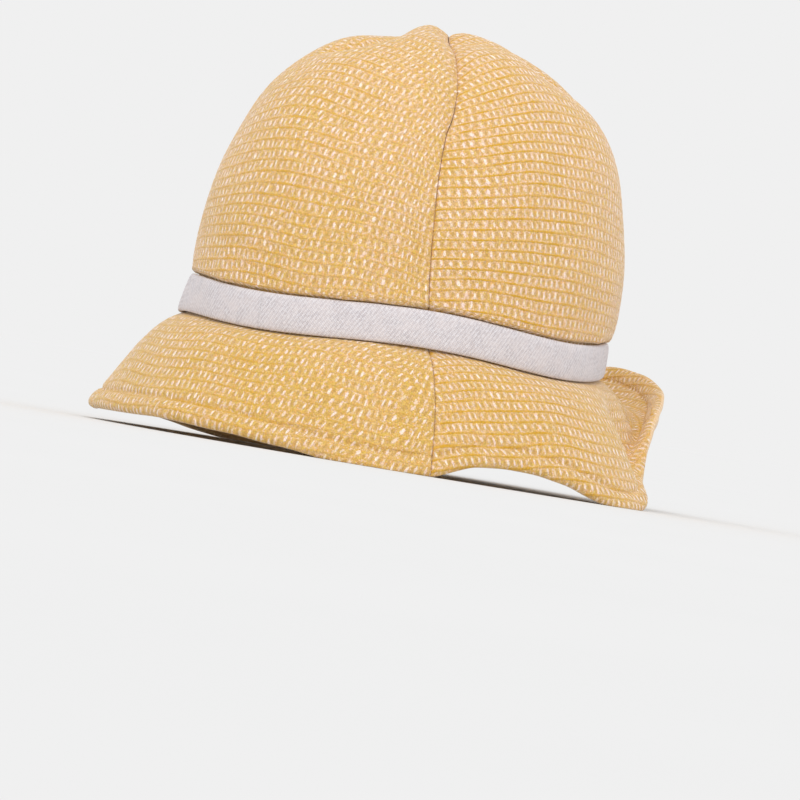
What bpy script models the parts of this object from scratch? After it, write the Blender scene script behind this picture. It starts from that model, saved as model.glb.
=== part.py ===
"""A soft sauna hat of linen waffle cloth: four crown gores, four brim panels and a linen band.

Run it with blender --background --python part.py, or from the text editor. Units are metres and
+Z is up. The front of the hat faces -Y, and an azimuth is counted from the front towards the
wearer's left (+X). The hat stands on its brim, on the plane z = 0, and its origin is the middle of
the space that it covers there.
"""

import math

import bmesh
import bpy
import numpy as np
from mathutils import Matrix, Vector

# Sizes of the crown
CROWN_LENGTH = 0.198  # outside, front to back, just above the band
CROWN_WIDTH = 0.182  # outside, side to side, just above the band
CROWN_HEIGHT = 0.1325  # from the seam behind the band to the point where the gores meet
CROWN_SQUARENESS = 2.7  # 2 is an ellipse; more gives steeper sides and a rounder shoulder
GORE_HUMP = 0.0062  # how far a gore swells out past its seams, at most
SEAM_REACH = 0.009  # distance from a seam over which a gore does most of its swelling

# Sizes of the cloth, the band and the brim
CLOTH = 0.002  # one layer of waffle cloth
BAND_LEVEL = 0.0600  # from the floor to the middle of the band
BAND_HEIGHT = 0.016
BAND_CLOTH = 0.002  # the folded linen strip
BAND_PUFF = 0.0019  # how far the strip bulges between its edges
BAND_WAVE = 0.0017  # the band rises this much at the seams, and falls as much between them
NECK_DEPTH = 0.0034  # how far the band draws the cloth in
NECK_ROLL = 0.0055  # height over which the crown rolls out above the band
ROLL_SHARES = (0.0, 0.3, 0.65, 1.0)  # heights of the roll's rows, as shares of NECK_ROLL
BRIM_WIDTH = 0.064
HEM_WIDTH = 0.009
HEM_THICKNESS = 0.004
SHOULDER_LEAN = 80.0  # degrees from straight down, where the brim leaves the band
SHOULDER_HANDLE = 0.27  # share of the brim's width over which that lean holds
EDGE_HANDLE = 0.39  # share of the brim's width over which the lean at the edge holds

# Clearances
SEAM_GAP = 0.0004  # between two pieces that are sewn together
BAND_GAP = 0.0003  # between the band and the cloth behind and beside it

# Facets
GORE_COLUMNS = 16
CROWN_ROWS = 17
PANEL_COLUMNS = 26
BRIM_ROWS = 11
BAND_COLUMNS = 80
BAND_ROWS = 4

# How much a gore swells on the way up its middle, from the seam behind the band to the top
HUMPS = (
    # share of the way up, share of GORE_HUMP
    (0.00, 0.10),
    (0.30, 0.22),
    (0.55, 0.50),
    (0.74, 1.00),
    (0.88, 0.95),
    (0.95, 0.75),
    (1.00, 0.40),
)

# Soft dents in the crown
DENTS = (
    # azimuth, share of the way up, depth as a share of GORE_HUMP, spread as a share of CROWN_WIDTH
    (118.0, 0.50, -0.45, 0.14),
    (112.0, 0.75, 0.95, 0.12),
    (60.0, 0.84, 0.50, 0.07),
    (-27.0, 0.79, 1.35, 0.105),
    (-49.0, 0.88, 0.60, 0.065),
    (18.0, 0.60, 0.20, 0.16),
    (205.0, 0.62, 0.45, 0.15),
)

# The brim's edge, all the way round: it rests on the floor where its rise is below nought,
# lifts in waves between, and is turned up at the back
BRIM_EDGE = (
    # azimuth, reach as a share of BRIM_WIDTH, rise as a share of the brim's depth, lean in degrees
    (-70.0, 0.635, 0.150, 32.0),
    (-53.0, 0.625, 0.125, 34.0),
    (-23.0, 0.530, 0.125, 30.0),
    (0.0, 0.505, 0.110, 26.0),
    (18.0, 0.485, 0.055, 24.0),
    (34.0, 0.505, -0.014, 22.0),
    (45.0, 0.520, 0.020, 24.0),
    (57.0, 0.535, 0.155, 28.0),
    (67.0, 0.550, 0.185, 28.0),
    (77.0, 0.595, 0.125, 22.0),
    (87.0, 0.645, 0.025, 26.0),
    (97.0, 0.665, -0.016, 30.0),
    (104.0, 0.630, 0.050, 42.0),
    (112.0, 0.480, 0.250, 75.0),
    (125.0, 0.380, 0.630, 150.0),
    (140.0, 0.430, 0.900, 158.0),
    (152.0, 0.560, 1.050, 150.0),
    (165.0, 0.660, 1.160, 145.0),
    (180.0, 0.745, 1.180, 142.0),
    (195.0, 0.695, 1.060, 140.0),
    (210.0, 0.585, 0.700, 120.0),
    (223.0, 0.475, 0.200, 45.0),
    (234.0, 0.425, -0.018, 18.0),
    (247.0, 0.415, -0.016, 14.0),
    (262.0, 0.485, 0.040, 20.0),
    (276.0, 0.585, 0.130, 28.0),
)

# The gores and the panels are named for the side that they face
SIDES = (("front", 0.0), ("left", 90.0), ("back", 180.0), ("right", 270.0))
SEAM_AZIMUTH = 45.0  # of the first seam; the others follow at quarter turns
SAME_POINT = 0.00001  # two vertices closer than this are the same one
MERIDIAN_STEPS = 600

WAFFLE_YELLOW = (0.78, 0.52, 0.22, 1.0)
BAND_LINEN = (0.68, 0.64, 0.62, 1.0)


def smooth_between(knots, values, at):
    """A cubic through the knots whose slope at each knot is taken from its two neighbours."""
    knots = np.asarray(knots, float)
    values = np.asarray(values, float)
    slopes = np.gradient(values, knots)
    left = np.clip(np.searchsorted(knots, at, side="right") - 1, 0, len(knots) - 2)
    span = knots[left + 1] - knots[left]
    t = (at - knots[left]) / span
    return (
        values[left] * (1 + 2 * t) * (1 - t) ** 2
        + slopes[left] * span * t * (1 - t) ** 2
        + values[left + 1] * t**2 * (3 - 2 * t)
        + slopes[left + 1] * span * t**2 * (t - 1)
    )


def round_the_hat(table, azimuth):
    """The columns of a table whose first column is an azimuth, read smoothly all the way round."""
    rows = np.array(table, float)
    turns = np.concatenate([rows - (360, 0, 0, 0), rows, rows + (360, 0, 0, 0)])
    wrapped = (azimuth - rows[0, 0]) % 360 + rows[0, 0]
    return [smooth_between(turns[:, 0], turns[:, k], wrapped) for k in (1, 2, 3)]


def smooth_step(t):
    """From 0 to 1, level at both ends."""
    t = np.clip(t, 0, 1)
    return t * t * (3 - 2 * t)


def oval_radius(azimuth):
    """Distance from the axis to the crown's widest oval, in the direction of an azimuth."""
    turn = np.radians(azimuth)
    across = np.sin(turn) / (CROWN_WIDTH / 2)
    along = np.cos(turn) / (CROWN_LENGTH / 2)
    return 1 / np.hypot(across, along)


def points_at(azimuth, distance, height):
    """Points by azimuth, distance from the axis and height, as rows of x, y, z."""
    turn = np.radians(azimuth)
    return np.stack([distance * np.sin(turn), -distance * np.cos(turn), height], axis=-1)


def from_gore_middle(azimuth):
    """The angle from the middle of the gore that holds an azimuth, from -45 to 45 degrees."""
    return (azimuth - SEAM_AZIMUTH) % 90 - 45


def seam_level(azimuth):
    """Height of the seam behind the band: it rises at the gore seams and falls between them."""
    return BAND_LEVEL - BAND_WAVE * np.cos(np.radians(4 * from_gore_middle(azimuth)))


def crown_meridian(up):
    """Radius share, height and outward tilt of the crown's outline at shares of its length.

    The outline is a superellipse, radius = sqrt(1 - height ** squareness), read at even lengths
    from the seam behind the band (0) to the top (1)."""
    angle = np.linspace(0, math.pi / 2, MERIDIAN_STEPS)
    radius = np.cos(angle)
    height = CROWN_HEIGHT * np.sin(angle) ** (2 / CROWN_SQUARENESS)
    half = (CROWN_LENGTH + CROWN_WIDTH) / 4
    length = np.concatenate([[0], np.cumsum(np.hypot(np.diff(radius) * half, np.diff(height)))])
    length /= length[-1]
    tilt = np.arctan2(-np.gradient(radius * half, length), np.gradient(height, length))
    tilt[-1] = math.pi / 2
    return [np.interp(up, length, column) for column in (radius, height, tilt)]


def swollen_crown(azimuth, up):
    """The crown's outline swollen between its seams: points, and the way that each one faces.

    The swelling grows from nought at a seam as 1 - exp(-distance / SEAM_REACH)."""
    radius, height, tilt = crown_meridian(up)
    clear = smooth_step((height - BAND_HEIGHT / 2 - BAND_GAP) / NECK_ROLL)
    plain = oval_radius(azimuth) * radius
    from_seam = plain * np.cos(np.radians(2 * from_gore_middle(azimuth))) / 2
    full = 1 - np.exp(-from_seam / SEAM_REACH)
    swell = GORE_HUMP * full * clear * smooth_between(*np.array(HUMPS).T, up)
    distance = plain - NECK_DEPTH * (1 - clear) + swell * np.cos(tilt)
    base = BAND_LEVEL + (seam_level(azimuth) - BAND_LEVEL) * (1 - up) ** 2
    height = base + height + swell * np.sin(tilt)
    facing = points_at(azimuth, np.cos(tilt), np.sin(tilt))
    return points_at(azimuth, distance, height), facing


def crown_skin(azimuth, up):
    """The outside of the crown, from the seam behind the band (0) to the top (1).

    Each dent pushes the swollen outline in by a bell curve of the distance from its centre."""
    points, facing = swollen_crown(azimuth, up)
    pushed = points.copy()
    for at_azimuth, at_up, depth, spread in DENTS:
        centre = swollen_crown(np.array(at_azimuth), np.array(at_up))[0]
        away = np.linalg.norm(points - centre, axis=-1) / (spread * CROWN_WIDTH)
        pushed -= (depth * GORE_HUMP * np.exp(-(away**2)))[..., None] * facing
    return pushed


def brim_skin(azimuth, across):
    """The outside of the brim, from its edge (0) to the seam behind the band (1).

    Down to the band's lower edge it lies in the neck. From there each section is a cubic with a
    set lean at its start and at the edge."""
    reach, rise, lean = round_the_hat(BRIM_EDGE, azimuth)
    neck = oval_radius(azimuth) - NECK_DEPTH
    top = seam_level(azimuth) - SEAM_GAP / 2
    start = seam_level(azimuth) - BAND_HEIGHT / 2 - BAND_GAP
    edge_out = reach * BRIM_WIDTH
    edge_height = rise * (BAND_LEVEL - BAND_HEIGHT / 2)
    first, last = math.radians(SHOULDER_LEAN), np.radians(lean)
    handle, end_handle = SHOULDER_HANDLE * BRIM_WIDTH, EDGE_HANDLE * BRIM_WIDTH
    outs = (0, handle * math.sin(first), edge_out - end_handle * np.sin(last), edge_out)
    heights = (
        start,
        start - handle * math.cos(first),
        edge_height + end_handle * np.cos(last),
        edge_height,
    )
    flare_share = BRIM_WIDTH / (BRIM_WIDTH + BAND_HEIGHT / 2)
    t = np.clip(1 - across / flare_share, 0, 1)
    weights = ((1 - t) ** 3, 3 * t * (1 - t) ** 2, 3 * t * t * (1 - t), t**3)
    out = sum(weight * value for weight, value in zip(weights, outs))
    height = sum(weight * value for weight, value in zip(weights, heights))
    tucked = np.clip((across - flare_share) / (1 - flare_share), 0, 1)
    return points_at(azimuth, neck + out, height + tucked * (top - start))


def band_skin(azimuth, across):
    """The outside of the band, from its lower edge (0) to its upper edge (1)."""
    inside = oval_radius(azimuth) - NECK_DEPTH + BAND_GAP
    bulge = BAND_PUFF * (1 - (2 * across - 1) ** 4)
    height = seam_level(azimuth) + (across - 0.5) * BAND_HEIGHT
    return points_at(azimuth, inside + BAND_CLOTH + bulge, height)


def skin_mesh(name, azimuths, shares, skin):
    """An open surface: a grid whose columns are azimuths all the way round and rows are shares."""
    shell = bmesh.new()
    bmesh.ops.create_grid(
        shell, x_segments=len(azimuths) - 1, y_segments=len(shares) - 1, size=1
    )
    flat = (np.array([vertex.co[:2] for vertex in shell.verts]) + 1) / 2
    column = np.rint(flat[:, 0] * (len(azimuths) - 1)).astype(int)
    row = np.rint(flat[:, 1] * (len(shares) - 1)).astype(int)
    for vertex, point in zip(shell.verts, skin(azimuths[column], shares[row])):
        vertex.co = point
    bmesh.ops.remove_doubles(shell, verts=shell.verts, dist=1e-6)
    mesh = bpy.data.meshes.new(name)
    shell.to_mesh(mesh)
    shell.free()
    mesh.shade_smooth()
    return mesh


def cloth(name, colour, roughness):
    """A plain woven material."""
    material = bpy.data.materials.new(name)
    material.use_nodes = True
    surface = material.node_tree.nodes["Principled BSDF"]
    surface.inputs["Base Color"].default_value = colour
    surface.inputs["Roughness"].default_value = roughness
    surface.inputs["Metallic"].default_value = 0.0
    return material


def add_object(name, mesh, collection, material=None):
    """One object in a collection, with one material."""
    thing = bpy.data.objects.new(name, mesh)
    collection.objects.link(thing)
    if material and not mesh.materials:
        mesh.materials.append(material)
    return thing


def wall(thing, thickness):
    """Gives an open surface its wall, on the inside."""
    solidify = thing.modifiers.new("wall", "SOLIDIFY")
    solidify.thickness = thickness
    solidify.offset = -1
    solidify.use_even_offset = True
    return solidify


def cut(thing, name, cutter, operation):
    """A Boolean with one cutter."""
    boolean = thing.modifiers.new(name, "BOOLEAN")
    boolean.operation = operation
    boolean.object = cutter


def box_cutter(name, size, centre, turn, collection):
    """A box that cuts, and isn't part of the hat."""
    shape = bmesh.new()
    bmesh.ops.create_cube(shape, size=1, matrix=Matrix.Diagonal((*size, 1)))
    mesh = bpy.data.meshes.new(name)
    shape.to_mesh(mesh)
    shape.free()
    cutter = add_object(name, mesh, collection)
    cutter.location = centre
    cutter.rotation_euler.z = turn
    cutter.hide_render = True
    cutter.display_type = "WIRE"
    return cutter


def quarter_cutters(collection):
    """A box for each side of the hat: its corner stands on the axis, half a seam gap clear."""
    side = 2 * (CROWN_LENGTH + BRIM_WIDTH)
    height = 4 * (BAND_LEVEL + CROWN_HEIGHT)
    cutters = {}
    for label, azimuth in SIDES:
        turn = math.radians(azimuth)
        away = side / math.sqrt(2) + SEAM_GAP / math.sqrt(2)
        centre = (away * math.sin(turn), -away * math.cos(turn), 0)
        cutters[label] = box_cutter(
            f"quarter_{label}", (side, side, height), centre, turn + math.pi / 4, collection
        )
    return cutters


def seam_columns(per_quarter):
    """Azimuths all the way round, from seam to seam, closer together beside the seams."""
    along = np.sin(np.linspace(-math.pi / 2, math.pi / 2, per_quarter + 1))[:-1]
    quarters = [SEAM_AZIMUTH + 90 * quarter + 45 + 45 * along for quarter in range(4)]
    return np.append(np.concatenate(quarters), SEAM_AZIMUTH + 360)


def crown_rows():
    """Shares of the way up: the neck, its roll and then even steps to the top."""
    fine = np.linspace(0, 1, MERIDIAN_STEPS)
    height = crown_meridian(fine)[1]
    neck_top = BAND_HEIGHT / 2 + BAND_GAP
    roll = neck_top + NECK_ROLL * np.array(ROLL_SHARES)
    lower = np.concatenate([[0], np.interp(roll, height, fine)])
    upper = np.linspace(lower[-1], 1, CROWN_ROWS - len(lower) + 2)[1:]
    return np.concatenate([lower, upper])


def brim_rows():
    """Shares across: the edge, the hem, the flare, the shoulder and the part behind the band."""
    whole = BRIM_WIDTH + BAND_HEIGHT / 2
    hem = np.array((0.0, 0.5, 1.0)) * HEM_WIDTH / whole
    step = (HEM_WIDTH + CLOTH) / whole
    flare = np.linspace(step, BRIM_WIDTH / whole, BRIM_ROWS - len(hem))
    return np.concatenate([hem, flare, [1]])


def make_crown(collection, quarters, material):
    """Four gores, cut from one domed wall along their seams."""
    dome = skin_mesh("crown", seam_columns(GORE_COLUMNS), crown_rows(), crown_skin)
    for label, _ in SIDES:
        gore = add_object(f"crown_gore_{label}", dome, collection, material)
        gore.location.z = SEAM_GAP / 2
        wall(gore, CLOTH)
        cut(gore, "seams", quarters[label], "INTERSECT")


def make_brim(collection, quarters, floor, material):
    """Four panels, cut from one flared wall with a turned-under hem, and flat where they rest."""
    azimuths = np.linspace(SEAM_AZIMUTH, SEAM_AZIMUTH + 360, 4 * PANEL_COLUMNS + 1)
    rows = brim_rows()
    flare = skin_mesh("brim", azimuths, rows, brim_skin)
    for label, _ in SIDES:
        panel = add_object(f"brim_panel_{label}", flare, collection, material)
        hem = panel.vertex_groups.new(name="hem")
        hem.add(hem_vertices(flare, azimuths, rows), 1.0, "REPLACE")
        thick = wall(panel, HEM_THICKNESS)
        thick.vertex_group = "hem"
        thick.thickness_vertex_group = CLOTH / HEM_THICKNESS
        cut(panel, "seams", quarters[label], "INTERSECT")
        cut(panel, "floor", floor, "DIFFERENCE")


def hem_vertices(mesh, azimuths, rows):
    """The vertices of the rows that lie on the hem."""
    hem_share = HEM_WIDTH / (BRIM_WIDTH + BAND_HEIGHT / 2)
    on_hem = rows[rows < hem_share + SAME_POINT]
    grid = np.concatenate([brim_skin(azimuths, np.full(len(azimuths), row)) for row in on_hem])
    points = np.array([vertex.co for vertex in mesh.vertices])
    gaps = np.abs(points[:, None, :] - grid[None, :, :]).sum(axis=2).min(axis=1)
    return np.nonzero(gaps < SAME_POINT)[0].tolist()


def make_band(collection, material):
    """A folded linen strip round the neck, bulging between its edges."""
    azimuths = np.linspace(SEAM_AZIMUTH, SEAM_AZIMUTH + 360, BAND_COLUMNS + 1)
    strip = skin_mesh("band", azimuths, np.linspace(0, 1, BAND_ROWS + 1), band_skin)
    wall(add_object("hat_band", strip, collection, material), BAND_CLOTH)


def footprint_middle(collection):
    """The middle, in x and y, of the box round all the finished pieces."""
    bpy.context.view_layer.update()
    graph = bpy.context.evaluated_depsgraph_get()
    pieces = [thing.evaluated_get(graph) for thing in collection.all_objects]
    corners = [piece.matrix_world @ Vector(corner) for piece in pieces for corner in piece.bound_box]
    return (np.min(corners, axis=0) + np.max(corners, axis=0)) / 2


def main():
    for thing in list(bpy.data.objects):
        bpy.data.objects.remove(thing)
    scene = bpy.context.scene.collection
    hat = bpy.data.collections.new("sauna_hat")
    cutters = bpy.data.collections.new("cutters")
    scene.children.link(hat)
    scene.children.link(cutters)
    waffle = cloth("waffle_linen", WAFFLE_YELLOW, 0.9)
    linen = cloth("band_linen", BAND_LINEN, 0.85)
    quarters = quarter_cutters(cutters)
    deep = BAND_LEVEL
    wide = 3 * (CROWN_LENGTH + BRIM_WIDTH)
    floor = box_cutter("floor", (wide, wide, deep), (0, 0, -deep / 2), 0, cutters)
    make_crown(hat, quarters, waffle)
    make_brim(hat, quarters, floor, waffle)
    make_band(hat, linen)
    middle = footprint_middle(hat)
    for thing in [*hat.all_objects, *cutters.all_objects]:
        thing.location.x -= middle[0]
        thing.location.y -= middle[1]


main()
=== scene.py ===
"""Looks of a sauna hat: waffle cloth gores and brim panels, a linen band, hem stitches, and a studio.

The hat stands on its brim on the floor at z = 0, with its front towards -Y. Lengths are in metres.
Azimuths are in degrees, counted from the front of the hat towards the wearer's left (+X).
"""

import math

import bpy
import numpy as np
from bpy.props import FloatProperty, FloatVectorProperty, IntProperty, PointerProperty
from mathutils import Matrix, Vector


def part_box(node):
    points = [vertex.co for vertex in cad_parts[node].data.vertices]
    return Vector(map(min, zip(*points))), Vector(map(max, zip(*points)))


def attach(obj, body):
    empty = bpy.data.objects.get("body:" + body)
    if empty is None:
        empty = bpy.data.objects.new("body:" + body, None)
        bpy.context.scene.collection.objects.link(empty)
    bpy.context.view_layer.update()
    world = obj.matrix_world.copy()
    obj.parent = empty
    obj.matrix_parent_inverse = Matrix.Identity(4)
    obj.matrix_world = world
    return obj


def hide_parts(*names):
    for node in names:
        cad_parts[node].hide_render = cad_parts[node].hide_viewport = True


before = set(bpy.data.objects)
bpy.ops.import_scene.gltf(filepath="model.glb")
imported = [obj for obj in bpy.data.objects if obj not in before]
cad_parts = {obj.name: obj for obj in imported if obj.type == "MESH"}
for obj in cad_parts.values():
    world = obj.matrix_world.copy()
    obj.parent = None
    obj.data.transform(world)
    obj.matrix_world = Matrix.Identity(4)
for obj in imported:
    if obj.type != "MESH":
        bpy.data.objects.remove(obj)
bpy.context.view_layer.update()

bl_info = {
    "name": "Sauna hat",
    "version": (1, 0, 0),
    "blender": (4, 5, 0),
    "location": "View3D > Sidebar > Sauna hat",
    "description": "Dresses the plain parts of a sauna hat in waffle cloth and linen",
    "category": "Object",
}

# Sizes of the cut pieces, the same as in the plain parts
CROWN_LENGTH = 0.198
CROWN_WIDTH = 0.182
CROWN_HEIGHT = 0.1325
CROWN_SQUARENESS = 2.7
GORE_HUMP = 0.0062
SEAM_REACH = 0.009
CLOTH = 0.002
BAND_LEVEL = 0.0600
BAND_HEIGHT = 0.016
BAND_CLOTH = 0.002
BAND_PUFF = 0.0019
BAND_WAVE = 0.0017
NECK_DEPTH = 0.0034
BRIM_WIDTH = 0.064
HEM_WIDTH = 0.009
HEM_THICKNESS = 0.004
SHOULDER_LEAN = 80.0
SHOULDER_HANDLE = 0.27
EDGE_HANDLE = 0.39
SEAM_GAP = 0.0004
BAND_GAP = 0.0003
SEAM_AZIMUTH = 45.0
MEAN_RADIUS = (CROWN_LENGTH + CROWN_WIDTH) / 4
MERIDIAN_STEPS = 600
SIDES = {"front": 0, "left": 90, "back": 180, "right": 270}

# How much a gore swells on the way up its middle
HUMPS = (
    # share of the way up, share of GORE_HUMP
    (0.00, 0.10),
    (0.30, 0.22),
    (0.55, 0.50),
    (0.74, 1.00),
    (0.88, 0.95),
    (0.95, 0.75),
    (1.00, 0.40),
)

# Places where the crown is pushed in, or out where the depth is below zero
DENTS = (
    # azimuth, share of the way up, depth as a share of GORE_HUMP, spread as a share of CROWN_WIDTH
    (118.0, 0.50, -0.45, 0.14),
    (112.0, 0.75, 0.95, 0.12),
    (60.0, 0.84, 0.50, 0.07),
    (-27.0, 0.79, 1.35, 0.105),
    (-49.0, 0.88, 0.60, 0.065),
    (18.0, 0.60, 0.20, 0.16),
    (205.0, 0.62, 0.45, 0.15),
)

# The finer hollows and the small peak at the crown's top, in the same columns
SOFT_DENTS = (
    (-72.0, 0.90, 0.95, 0.075),
    (-85.0, 0.84, 0.50, 0.10),
    (-22.0, 0.78, 0.90, 0.11),
    (140.0, 0.86, 0.60, 0.09),
    (-4.0, 0.92, -0.26, 0.075),
)

# The brim's edge all the way round
BRIM_EDGE = (
    # azimuth, reach as a share of BRIM_WIDTH, rise as a share of the neck's height, lean in degrees
    (-70.0, 0.635, 0.150, 32.0),
    (-53.0, 0.625, 0.125, 34.0),
    (-23.0, 0.530, 0.125, 30.0),
    (0.0, 0.505, 0.110, 26.0),
    (18.0, 0.485, 0.055, 24.0),
    (34.0, 0.505, -0.014, 22.0),
    (45.0, 0.520, 0.020, 24.0),
    (57.0, 0.535, 0.155, 28.0),
    (67.0, 0.550, 0.185, 28.0),
    (77.0, 0.595, 0.125, 22.0),
    (87.0, 0.645, 0.025, 26.0),
    (97.0, 0.665, -0.016, 30.0),
    (104.0, 0.630, 0.050, 42.0),
    (112.0, 0.480, 0.250, 75.0),
    (125.0, 0.380, 0.630, 150.0),
    (140.0, 0.430, 0.900, 158.0),
    (152.0, 0.560, 1.050, 150.0),
    (165.0, 0.660, 1.160, 145.0),
    (180.0, 0.745, 1.180, 142.0),
    (195.0, 0.695, 1.060, 140.0),
    (210.0, 0.585, 0.700, 120.0),
    (223.0, 0.475, 0.200, 45.0),
    (234.0, 0.425, -0.018, 18.0),
    (247.0, 0.415, -0.016, 14.0),
    (262.0, 0.485, 0.040, 20.0),
    (276.0, 0.585, 0.130, 28.0),
)

# Fine shape of the sewn cloth
NECK_ROLL = 0.0019  # height over which the crown rolls out above the band
NECK_DRAW = 0.0030  # how far the neck is drawn in at one place, behind the wearer's left
NECK_DRAW_AZIMUTH = 130.0
NECK_DRAW_SPREAD = 22.0  # degrees
NECK_DRAW_RISE = 0.008  # height over which the crown eases out of it
BAND_CORNER = 0.55  # 1 is an oval cross-section; less gives the band squarer corners
BAND_HANG = 0.0006  # how far the band's lower outer edge hangs over the brim, towards the camera
BAND_FLARE = 0.0036  # how far its lower edge stands out at one place, before the wearer's right
BAND_FLARE_AZIMUTH = -56.0
BAND_FLARE_SPREAD = 24.0  # degrees
SEAM_CLOSE = 0.0001  # what stays open between two edges that the thread pulls together
SEAM_ROLL = 0.0009  # how far the cloth's edge turns in at a seam
SEAM_ROLL_WIDTH = 0.0017
SEAM_PULL = 0.0006  # depth of the wider hollow that the seam's thread pulls
SEAM_PULL_WIDTH = 0.0055
SEAM_SPREAD = 0.016  # how far from a seam its wandering is felt
STITCH_GROOVE = 0.0010  # depth of the groove that the hem's stitches pull
GROOVE_WIDTH = 0.0012
HEM_PUFF = 0.0006  # how far the doubled hem swells beside its stitches
CREASE_LENGTH = 0.046  # between two soft creases of the worn cloth
GATHER_LENGTH = 0.017  # between two gathers above the band
PULL_LEAN = 0.6  # how far a pull in the band leans, for each length up
FLOOR_REST = 0.00005  # the cloth lies this far above the floor
STRAY_LENGTH = 0.026  # between two bends of a row of weave
SHAKE_LENGTH = 0.010  # between two bends of a column of weave
CROWN_DROOP = 0.24  # slope that the crown's rows gain towards the seams, for each radian
BRIM_DROOP = 0.5  # share of the flat cut's slope that the brim's rows show
EDGE_SHARE = 0.02  # share of a piece's width that has closer columns, beside each seam
RIB_SLOPE = 0.13  # share of a row over which a rib falls away
FLOAT_SLOPE = 0.20  # share of a column over which a float falls away
FLOAT_START = 0.10  # share of a row between a rib and a float's end
FLOAT_RISE = 0.18  # share of a row over which the float's end rises
STITCH_RINGS = 5
STITCH_SIDES = 6
STITCH_SINK = 0.6  # share of its thickness that a stitch's ends are sunk in the cloth
LINING_RATIO = 10  # rows of a gore's outside for each row of its lining
LEAST_PANEL_ROWS = 34
BAND_COLUMNS = 640
BAND_ROWS = 24
TINY = 1e-9  # keeps a length from being zero

# How far the sewn seam between the front and left gores wanders sideways on its way up
SEAM_WANDER = (
    # share of the way up, metres to the wearer's left
    (0.00, -0.0010),
    (0.13, -0.0042),
    (0.20, -0.0053),
    (0.44, -0.0056),
    (0.48, -0.0048),
    (0.52, -0.0030),
    (0.59, -0.0016),
    (0.75, -0.0019),
    (0.91, -0.0024),
    (1.00, 0),
)
# the same for the brim's seam below it, from the edge to the band
BRIM_WANDER = (
    (0.00, 0.0058),
    (0.30, 0.0052),
    (0.65, 0.0026),
    (1.00, 0),
)

# How the weave differs from piece to piece
WEAVE_LEAN = {"front": -0.10, "left": 0.16, "back": 0.10, "right": -0.30}  # cells that a dash leans
WEAVE_STAGGER = {"front": 0.06, "left": 0.12, "back": 0.28, "right": 0.40}  # cells, from row to row
WEAVE_STRAY = {"front": 0.24, "left": 0.12, "back": 0.16, "right": 0.22}  # cells that a row wanders
WEAVE_NUDGE = {"front": 0.17, "left": 0.08, "back": 0.11, "right": 0.14}  # cells that a float is off
WEAVE_SHAKE = {"front": 0.15, "left": 0.09, "back": 0.12, "right": 0.18}  # cells that a float is pushed
WEAVE_GOLD = {"front": 0.42, "left": 0.12, "back": 0.25, "right": 0.40}  # share of gold in the ground
BRIM_GOLD = 0.45  # share of gold that the brim's ground has more
GOLD_DEPTH = 0.09  # share of its light that a cloth loses for a whole share of gold
FLOAT_OVAL = (0.21, 0.36)  # half the width of a pale float in columns, and half its height in rows
HOLLOW_OVAL = (0.24, 0.34)  # the same for the hollow between two floats
RIB_EDGES = (0.37, 0.45)  # rows from a float's middle to where a rib starts and is full
FRAY = 1.5  # how strongly the noise of the fibres frays their edges
FIBRES = (
    # colour, noise at which it starts, noise at which it is full, share of the ground it then covers
    ("lemon", 0.47, 0.62, 0.75),
    ("orange", 0.49, 0.64, 0.70),
    ("pink", 0.52, 0.66, 0.80),
)
WEAVE_FADE = {"front": 6.0, "left": 0.0, "back": 8.0, "right": 8.0}  # column at which the ribs fade
WEAVE_RIBS = {"front": 0.80, "left": 1.0, "back": 0.85, "right": 0.70}  # how clearly the ribs show

# The camera stands as the photographer did
CAMERA_AZIMUTH = 37.0
CAMERA_DISTANCE = 3.5
CAMERA_HEIGHT = 0.030
CAMERA_SIDEWAYS = 0.0050  # aims this far to the right of the hat's axis
CAMERA_ROLL = 9.5
CAMERA_LENS = 359.0  # millimetres, as is the sensor
SENSOR_WIDTH = 36.0
KEY_ASIDE = 2.0  # degrees that the key light stands to the left of the camera
KEY_RISE = 1.15  # how far up it stands, for each length towards the camera
KEY_WIDTH = 40.0  # degrees across, which softens its shadows
FLOOR_REACH = 60.0
FLOOR_LINES = 9


def smooth_between(knots, values, at):
    """A cubic curve through the knots, whose slope at each is that of its neighbours."""
    knots = np.asarray(knots, float)
    values = np.asarray(values, float)
    slopes = np.gradient(values, knots)
    left = np.clip(np.searchsorted(knots, at, side="right") - 1, 0, len(knots) - 2)
    span = knots[left + 1] - knots[left]
    t = (at - knots[left]) / span
    return (
        values[left] * (1 + 2 * t) * (1 - t) ** 2
        + slopes[left] * span * t * (1 - t) ** 2
        + values[left + 1] * t**2 * (3 - 2 * t)
        + slopes[left + 1] * span * t**2 * (t - 1)
    )


def round_the_hat(table, azimuth):
    """The three columns beside the azimuths of a table, joined smoothly all the way round."""
    rows = np.array(table, float)
    turns = np.concatenate([rows - (360, 0, 0, 0), rows, rows + (360, 0, 0, 0)])
    wrapped = (azimuth - rows[0, 0]) % 360 + rows[0, 0]
    return [smooth_between(turns[:, 0], turns[:, column], wrapped) for column in (1, 2, 3)]


def smooth_step(t):
    """Rises from 0 to 1 between t = 0 and t = 1, level at both ends."""
    t = np.clip(t, 0, 1)
    return t * t * (3 - 2 * t)


def oval_radius(azimuth):
    """Distance from the hat's axis to the oval of the head."""
    turn = np.radians(azimuth)
    return 1 / np.hypot(np.sin(turn) / (CROWN_WIDTH / 2), np.cos(turn) / (CROWN_LENGTH / 2))


def points_at(azimuth, distance, height):
    """Points at a distance from the hat's axis, in the direction of the azimuth."""
    turn = np.radians(azimuth)
    return np.stack([distance * np.sin(turn), -distance * np.cos(turn), height], axis=-1)


def from_gore_middle(azimuth):
    """Degrees from the middle of the gore, from -45 at one seam to 45 at the next."""
    return (azimuth - SEAM_AZIMUTH) % 90 - 45


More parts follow.
